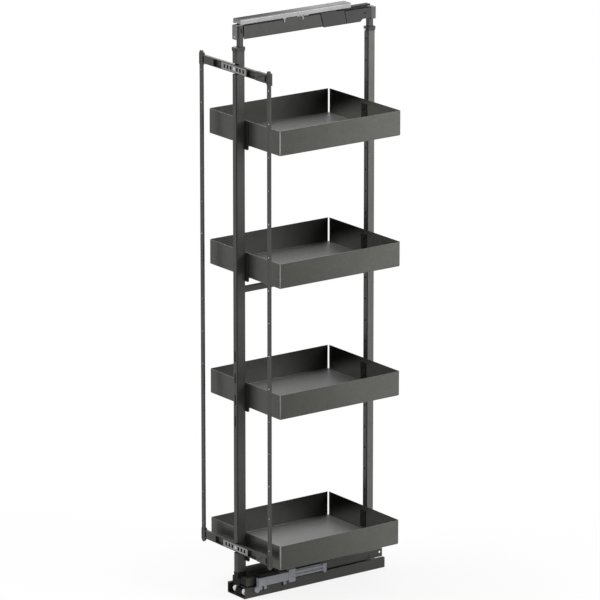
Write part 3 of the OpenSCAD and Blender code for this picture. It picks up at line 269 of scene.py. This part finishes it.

# Finishes of single pieces and places: the rear tube painted paler as painted light and its
# front painted darker as painted shade, clips and bracket, a painted highlight on the sheet
# edges, hole rims, painted shade on the post corners and in the open seams, and a painted
# reflection on the ceiling rail's top
# Painted reflection on the ceiling rail's top: its tone goes from dark at the front to bright
# at the rear
RAIL_REFLECTION_FADE = ((0, 1, 0), -0.20, 0.08, 0.42, 1.22)
# Rear tube: the dark steel painted paler as painted light, its front faces darker as painted
# shade
REAR_POST_LIT = metallic_coat("rear_post", (0.116, 0.117, 0.110), 0.50, 0.36)
REAR_FRONT_SHADE = metallic_coat("rear_front_shade", (0.066, 0.066, 0.064), 0.50, 0.40)
CLIP = rolled_metal("clip", (0.22, 0.22, 0.22), 0.40)
BRACKET = rolled_metal("bracket", (0.17, 0.17, 0.17), 0.42)
# Painted highlight on the trays' narrow sheet edges, paler than the tray coat
SHEET_EDGE_HIGHLIGHT = metallic_coat("highlit_sheet_edge", (0.13, 0.13, 0.126), 0.60, 0.40, 0.06)
HOLE_RIM = rolled_metal("hole_rim", (0.45, 0.45, 0.45), 0.34)
# Painted shade on the rounded front corners of the posts and the front inner tube
POST_CORNER_SHADE = metallic_coat("post_corner_shade", (0.026, 0.026, 0.025), 0.50, 0.42)
# Black finish for painted shade in the seam grooves between head pieces and the painted shadow
# band along their upper edges
SEAM_AND_BAND_SHADE = moulded("seam", (0.006, 0.006, 0.006), 0.60, 0.10)
RAIL_TOP_REFLECTION = rolled_metal("rail_top_reflection", *ZINC, fade=RAIL_REFLECTION_FADE)

# Painted sheen, reflection and shade on the tray floors and walls, as tone fades across each
# tray.
# A slope is in shares of the tray's width, length and height; then come the fade's start and
# end along it, and the tones there
FLOOR_SPAN = ((1, 0, 0), 0.03, 0.40)
# Painted sheen and shade on each tray's floor, lighter or darker from tray to tray by how it
# is lit
FLOOR_SHEEN_TONES = {
    "tray_1": (0.95, 0.80),
    "tray_2": (0.95, 0.86),
    "tray_3": (0.96, 0.94),
    "tray_4": (1.0, 1.50),
}
# Painted reflection and shade on the tray walls: inner rear wall lighter towards the right and
# bottom, inner left wall darker towards the rear and top, outer right wall lighter towards the
# rear
WALL_PAINTED_FADES = {
    "rear": ((1, 0, -0.55), -0.22, 0.20, 0.15, 2.50),
    "left": ((0, 1, 0.25), 0.70, 1.30, 1.0, 0.20),
    "right": ((0, 1, 0), -0.30, 1.30, 0.70, 1.56),
}
TRAY_FACES = ["edge", "floor", "rear", "left", "right"]


def tray_coat(node, face, coat, slope, start, end, low_tone, high_tone):
    """Coat of one face of a tray, whose tone fades along a slope across the tray as painted
    light: sheen on the floor, reflection and shade on the walls.
    """
    low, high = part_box(node)
    direction = [s / (b - a) for s, a, b in zip(slope, low, high)]
    first = sum(d * a for d, a in zip(direction, low))
    fade = (direction, first + start, first + end, low_tone, high_tone)
    return metallic_coat(node + "_" + face, *coat, fade=fade)


def tray_finishes(node):
    """Extra finishes of a tray, in the order of TRAY_FACES: painted highlight on the edges,
    painted sheen on the floor, painted reflection and shade on the walls.
    """
    floor = tray_coat(node, "floor", FLOOR_SHEEN_COAT, *FLOOR_SPAN, *FLOOR_SHEEN_TONES[node])
    walls = [tray_coat(node, w, TRAY_COAT, *fade) for w, fade in WALL_PAINTED_FADES.items()]
    return [SHEET_EDGE_HIGHLIGHT, floor] + walls


MAIN = {
    "rear_post": REAR_POST_LIT,
    "strip_clips": CLIP,
    "head_front_bracket": BRACKET,
}
EXTRA = {
    **{tray: tray_finishes(tray) for tray in FLOOR_SHEEN_TONES},
    "left_door_bar": [HOLE_RIM],
    "right_door_bar": [HOLE_RIM],
    "front_post": [POST_CORNER_SHADE],
    "front_inner_tube": [POST_CORNER_SHADE],
    "rear_post": [REAR_FRONT_SHADE, POST_CORNER_SHADE],
    "ceiling_rail": [RAIL_TOP_REFLECTION],
    "head_beam": [SEAM_AND_BAND_SHADE],
    "head_mid_housing": [SEAM_AND_BAND_SHADE],
    "head_rear_housing": [SEAM_AND_BAND_SHADE],
}
FIRST_EXTRA = 1
SECOND_EXTRA = 2

# Radius of the rounded edges in metres, by material slot
EDGE = {
    "dark_steel": 0.0004,
    "tray_steel": 0.0004,
    "holder_steel": 0.0004,
    "rail_steel": 0.0004,
    "zinc": 0.0003,
    "plate_zinc": 0.0004,
    "bright_steel": 0.0003,
    "black_screw": 0.0003,
    "white_nylon": 0.0003,
    "black_plastic": 0.0005,
    "grey_plastic": 0.0005,
    "cap_plastic": 0.0006,
    "dark_plastic": 0.0005,
    "buffer_rubber": 0.0008,
}

# Angles and lengths that tell edges and faces apart
FLAT = math.radians(0.5)
SHARP = math.radians(35.0)
WELD = 1e-6
SHEET = 0.0022
LONG = 0.020
HOLE = 0.0024
FLOOR_AREA = 0.05
CORNER_AREA = 0.0001

# Least share of a face's normal along an axis, from straight to just leaning
STRAIGHT = 0.999
LEVEL = 0.99
FACING = 0.9
TOWARDS = 0.8
LEANING = 0.1

# Wider bevels, the head's painted shadow line and the ceiling slide's end block, in metres
RIM = 0.0007
GROOVE = 0.0018
BAND = 0.0028
BAND_LEAD = 0.024
BAND_BARE = 0.60
END_SET = 0.0006
END_ROUND = 0.0022
END_RIM = 0.0016
END_DEEP = 0.0012

# Which ends of a head piece meet the next one along y
SEAM_ENDS = {"head_beam": [1], "head_mid_housing": [-1], "head_rear_housing": [-1]}


def bevel(bm, edges, offset, segments=2, **more):
    bmesh.ops.bevel(
        bm, geom=edges, offset=offset, offset_type="OFFSET", segments=segments, profile=0.5,
        affect="EDGES", clamp_overlap=True, **more,
    )


def round_edges(bm, slot):
    sharp = [e for e in bm.edges if len(e.link_faces) == 2 and e.calc_face_angle() > SHARP]
    bevel(bm, sharp, EDGE[slot])


def make_piece(name, bm, finishes):
    """An object of the mesh, smooth between its sharp edges."""
    mesh = bpy.data.meshes.new(name)
    bm.to_mesh(mesh)
    bm.free()
    for polygon in mesh.polygons:
        polygon.use_smooth = True
    mesh.set_sharp_from_angle(angle=SHARP)
    for finish in finishes:
        mesh.materials.append(finish)
    piece = bpy.data.objects.new(name, mesh)
    scene.collection.objects.link(piece)
    return piece


def highlit_sheet_edge(face):
    """Whether a face is the narrow upper edge of a sheet, which takes the painted highlight.
    """
    longest = max(e.calc_length() for e in face.edges)
    narrow = face.calc_area() / longest < SHEET
    return face.normal.z > STRAIGHT and longest > LONG and narrow


def tray_face(face, low, high):
    """Which of TRAY_FACES a tray's face is, or None where it has the plain coat."""
    middle = face.calc_center_median()
    if highlit_sheet_edge(face):
        return "edge"
    if face.normal.z > STRAIGHT and face.calc_area() > FLOOR_AREA:
        return "floor"
    if face.normal.y < -STRAIGHT and middle.y > (low[1] + high[1]) / 2:
        return "rear"
    if face.normal.x > STRAIGHT:
        return "left" if middle.x < (low[0] + high[0]) / 2 else "right"
    return None


def post_corner_shade(face):
    """Whether a face is on the rounded front corners of a post, which take a painted shade."""
    turned = abs(face.normal.x) > LEANING and face.normal.y < -LEANING
    return turned and face.calc_area() > CORNER_AREA


def hole_rims(bm):
    """The round edges of a door bar's screw holes, whose walls are bare too."""
    middle = sum((v.co.x for v in bm.verts), 0.0) / len(bm.verts)
    for face in bm.faces:
        near = all(abs(v.co.x - middle) < HOLE for v in face.verts)
        if abs(face.normal.y) < LEANING and near:
            face.material_index = FIRST_EXTRA
    rims = []
    for edge in bm.edges:
        near = all(abs(v.co.x - middle) < HOLE for v in edge.verts)
        flat = sum(abs(f.normal.y) > STRAIGHT for f in edge.link_faces) == 1
        if near and flat and edge.calc_length() < HOLE:
            rims.append(edge)
    return rims


def seam_edges(bm, ends):
    """The upright edges at the ends of a head piece, where it meets the next one."""
    edges = []
    for edge in bm.edges:
        if len(edge.link_faces) != 2:
            continue
        end = [f for f in edge.link_faces if any(f.normal.y * d > TOWARDS for d in ends)]
        side = [f for f in edge.link_faces if abs(f.normal.x) > STRAIGHT]
        if len(end) == 1 and len(side) == 1 and edge.calc_length() > LONG:
            edges.append(edge)
    return edges


def painted_shadow_line(node, bm):
    """A black band along the upper side edges of a head piece: painted shadow under the
    ceiling rail, where the black guide strip also shows.

    It is left out between the beam's clips and on the front of the middle housing.
    """
    low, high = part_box(node)
    line_z = high[2] - BAND
    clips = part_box("strip_clips")
    if node == "head_beam":
        bare = (clips[0][1], clips[1][1] - BAND_LEAD)
    elif node == "head_mid_housing":
        bare = (low[1], low[1] + BAND_BARE * (high[1] - low[1]))
    else:
        bare = (low[1], low[1])
    cuts = [((0, 0, line_z), (0, 0, 1))] + [((0, y, 0), (0, 1, 0)) for y in bare]
    for place, across in cuts:
        everything = bm.verts[:] + bm.edges[:] + bm.faces[:]
        bmesh.ops.bisect_plane(
            bm, geom=everything, dist=WELD, plane_co=place, plane_no=across
        )
    for face in bm.faces:
        middle = face.calc_center_median()
        dark = middle.z > line_z and not bare[0] < middle.y < bare[1]
        if abs(face.normal.x) > STRAIGHT and dark:
            face.material_index = FIRST_EXTRA


def mark(node, bm):
    """Faces that get one of the node's extra finishes, and the wider bevels that carry one."""
    if node in FLOOR_SHEEN_TONES:
        low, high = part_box(node)
        for face in bm.faces:
            kind = tray_face(face, low, high)
            if kind:
                face.material_index = FIRST_EXTRA + TRAY_FACES.index(kind)
    elif node in ("front_post", "front_inner_tube"):
        for face in bm.faces:
            if post_corner_shade(face):
                face.material_index = FIRST_EXTRA
    elif node == "rear_post":
        for face in bm.faces:
            # Front faces of the rear tube: painted shade
            if face.normal.y < -FACING:
                face.material_index = FIRST_EXTRA
            elif post_corner_shade(face):
                face.material_index = SECOND_EXTRA
    elif node == "ceiling_rail":
        for face in bm.faces:
            # Top faces of the ceiling rail: painted reflection fade
            if face.normal.z > LEVEL:
                face.material_index = FIRST_EXTRA
    elif node in SEAM_ENDS:
        # Seam grooves in the black finish: painted shade
        bevel(bm, seam_edges(bm, SEAM_ENDS[node]), GROOVE, 1, material=FIRST_EXTRA)
        painted_shadow_line(node, bm)
    elif node in EXTRA:
        bevel(bm, hole_rims(bm), RIM, 1, material=FIRST_EXTRA)


def soften(node):
    """A copy of a CAD node with its sharp edges rounded, shown in the node's place."""
    slot = SLOT[node]
    bm = bmesh.new()
    bm.from_mesh(NODES[node].data)
    bmesh.ops.remove_doubles(bm, verts=bm.verts, dist=WELD)
    bmesh.ops.dissolve_limit(bm, angle_limit=FLAT, verts=bm.verts, edges=bm.edges)
    mark(node, bm)
    round_edges(bm, slot)
    finishes = [MAIN.get(node, FINISHES[slot])] + EXTRA.get(node, [])
    piece = make_piece(node + "_soft", bm, finishes)
    normals = piece.modifiers.new("flat_faces", "WEIGHTED_NORMAL")
    normals.keep_sharp = True
    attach(piece, BODY[node])
    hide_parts(node)


def slide_end():
    """Stop block in the front of the ceiling slide, with its outline and a sunk face."""
    slide_low, slide_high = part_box("ceiling_slide")
    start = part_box("ceiling_rail")[0][1] + END_SET
    low = Vector((slide_low[0], start, slide_low[2]))
    high = Vector((slide_high[0], slide_low[1], slide_high[2]))
    bm = bmesh.new()
    bmesh.ops.create_cube(bm, size=1.0)
    for v in bm.verts:
        v.co = Vector([(a + b) / 2 + t * (b - a) for a, b, t in zip(low, high, v.co)])
    along = [e for e in bm.edges if abs(e.verts[0].co.y - e.verts[1].co.y) > WELD]
    bevel(bm, along, END_ROUND, 4)
    bm.normal_update()
    face = min(bm.faces, key=lambda f: f.normal.y)
    bmesh.ops.inset_individual(bm, faces=[face], thickness=END_RIM, depth=0.0)
    for v in face.verts:
        v.co.y += END_DEEP
    bm.normal_update()
    round_edges(bm, "grey_plastic")
    piece = make_piece("ceiling_slide_end", bm, [FINISHES["grey_plastic"]])
    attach(piece, BODY["ceiling_slide"])


def dress():
    for node, solid in NODES.items():
        solid.data.materials.clear()
        solid.data.materials.append(FINISHES[SLOT[node]])
        soften(node)
    slide_end()


# Studio: the floor's share of plain white goes from near to far between the two reaches
WHITE = (1.0, 1.0, 1.0, 1.0)
WORLD_LIGHT = 0.40
FLOOR_PAINT = (0.86, 0.86, 0.86, 1.0)
FLOOR_SIZE = 60.0
FLOOR_DROP = 0.0003
WHITE_NEAR = 0.85
WHITE_FAR = 1.0
NEAR_REACH = 0.5
FAR_REACH = 2.2

# Square lamps: place, size and power, all aimed at the middle of the part
AIM = Vector((0.0, 0.0, 0.85))
LAMPS = {
    "key": ((3.8, 2.5, 2.5), 2.4, 155.0),
    "back": ((-2.4, 1.8, 3.6), 2.4, 35.0),
    "top": ((-1.2, -1.4, 4.6), 2.6, 125.0),
}


def direct_view(tree):
    """One where the camera, a reflection or glass looks, and nothing where light falls."""
    path = tree.nodes.new("ShaderNodeLightPath")
    last = path.outputs["Is Camera Ray"]
    for ray in ("Is Glossy Ray", "Is Transmission Ray"):
        node = operate(tree, "ShaderNodeMath", "MAXIMUM")
        tree.links.new(last, node.inputs[0])
        tree.links.new(path.outputs[ray], node.inputs[1])
        last = node.outputs["Value"]
    return last


def mix_surface(tree, out, share, lit, seen):
    """The first shader where light falls and the second, by its share, where it is seen."""
    mix = tree.nodes.new("ShaderNodeMixShader")
    tree.links.new(share, mix.inputs["Fac"])
    tree.links.new(lit, mix.inputs[1])
    tree.links.new(seen, mix.inputs[2])
    tree.links.new(mix.outputs["Shader"], out.inputs["Surface"])


def make_world():
    world = bpy.data.worlds.new("studio")
    scene.world = world
    tree, out = bare_tree(world, "ShaderNodeOutputWorld")
    lit = add(tree, "ShaderNodeBackground", Color=WHITE, Strength=WORLD_LIGHT)
    seen = add(tree, "ShaderNodeBackground", Color=WHITE, Strength=1.0)
    mix_surface(
        tree, out, direct_view(tree), lit.outputs["Background"], seen.outputs["Background"]
    )


def floor_finish():
    """White paint, seen as plain white by a share that grows away from the part."""
    finish = bpy.data.materials.new("floor")
    tree, out = bare_tree(finish, "ShaderNodeOutputMaterial")
    reach = operate(tree, "ShaderNodeVectorMath", "LENGTH")
    fade = add(
        tree, "ShaderNodeMapRange",
        From_Min=NEAR_REACH, From_Max=FAR_REACH, To_Min=WHITE_NEAR, To_Max=WHITE_FAR,
    )
    share = operate(tree, "ShaderNodeMath", "MULTIPLY")
    tree.links.new(own_place(tree), reach.inputs[0])
    tree.links.new(reach.outputs["Value"], fade.inputs["Value"])
    tree.links.new(direct_view(tree), share.inputs[0])
    tree.links.new(fade.outputs["Result"], share.inputs[1])
    paint = add(tree, "ShaderNodeBsdfDiffuse", Color=FLOOR_PAINT)
    white = add(tree, "ShaderNodeEmission", Color=WHITE, Strength=1.0)
    mix_surface(
        tree, out, share.outputs["Value"], paint.outputs["BSDF"], white.outputs["Emission"]
    )
    return finish


def make_floor():
    mesh = bpy.data.meshes.new("floor")
    half = FLOOR_SIZE / 2
    corners = [(-half, -half, 0.0), (half, -half, 0.0), (half, half, 0.0), (-half, half, 0.0)]
    mesh.from_pydata(corners, [], [(0, 1, 2, 3)])
    mesh.materials.append(floor_finish())
    floor = bpy.data.objects.new("floor", mesh)
    floor.location.z = -FLOOR_DROP
    scene.collection.objects.link(floor)


def make_lamps():
    for name, (place, size, power) in LAMPS.items():
        data = bpy.data.lights.new(name, "AREA")
        data.shape = "SQUARE"
        data.size = size
        data.energy = power
        lamp = bpy.data.objects.new(name, data)
        lamp.location = place
        lamp.rotation_mode = "QUATERNION"
        lamp.rotation_quaternion = (AIM - Vector(place)).to_track_quat("-Z", "Y")
        scene.collection.objects.link(lamp)


scene.view_settings.view_transform = "Standard"
make_camera()
dress()
make_world()
make_floor()
make_lamps()
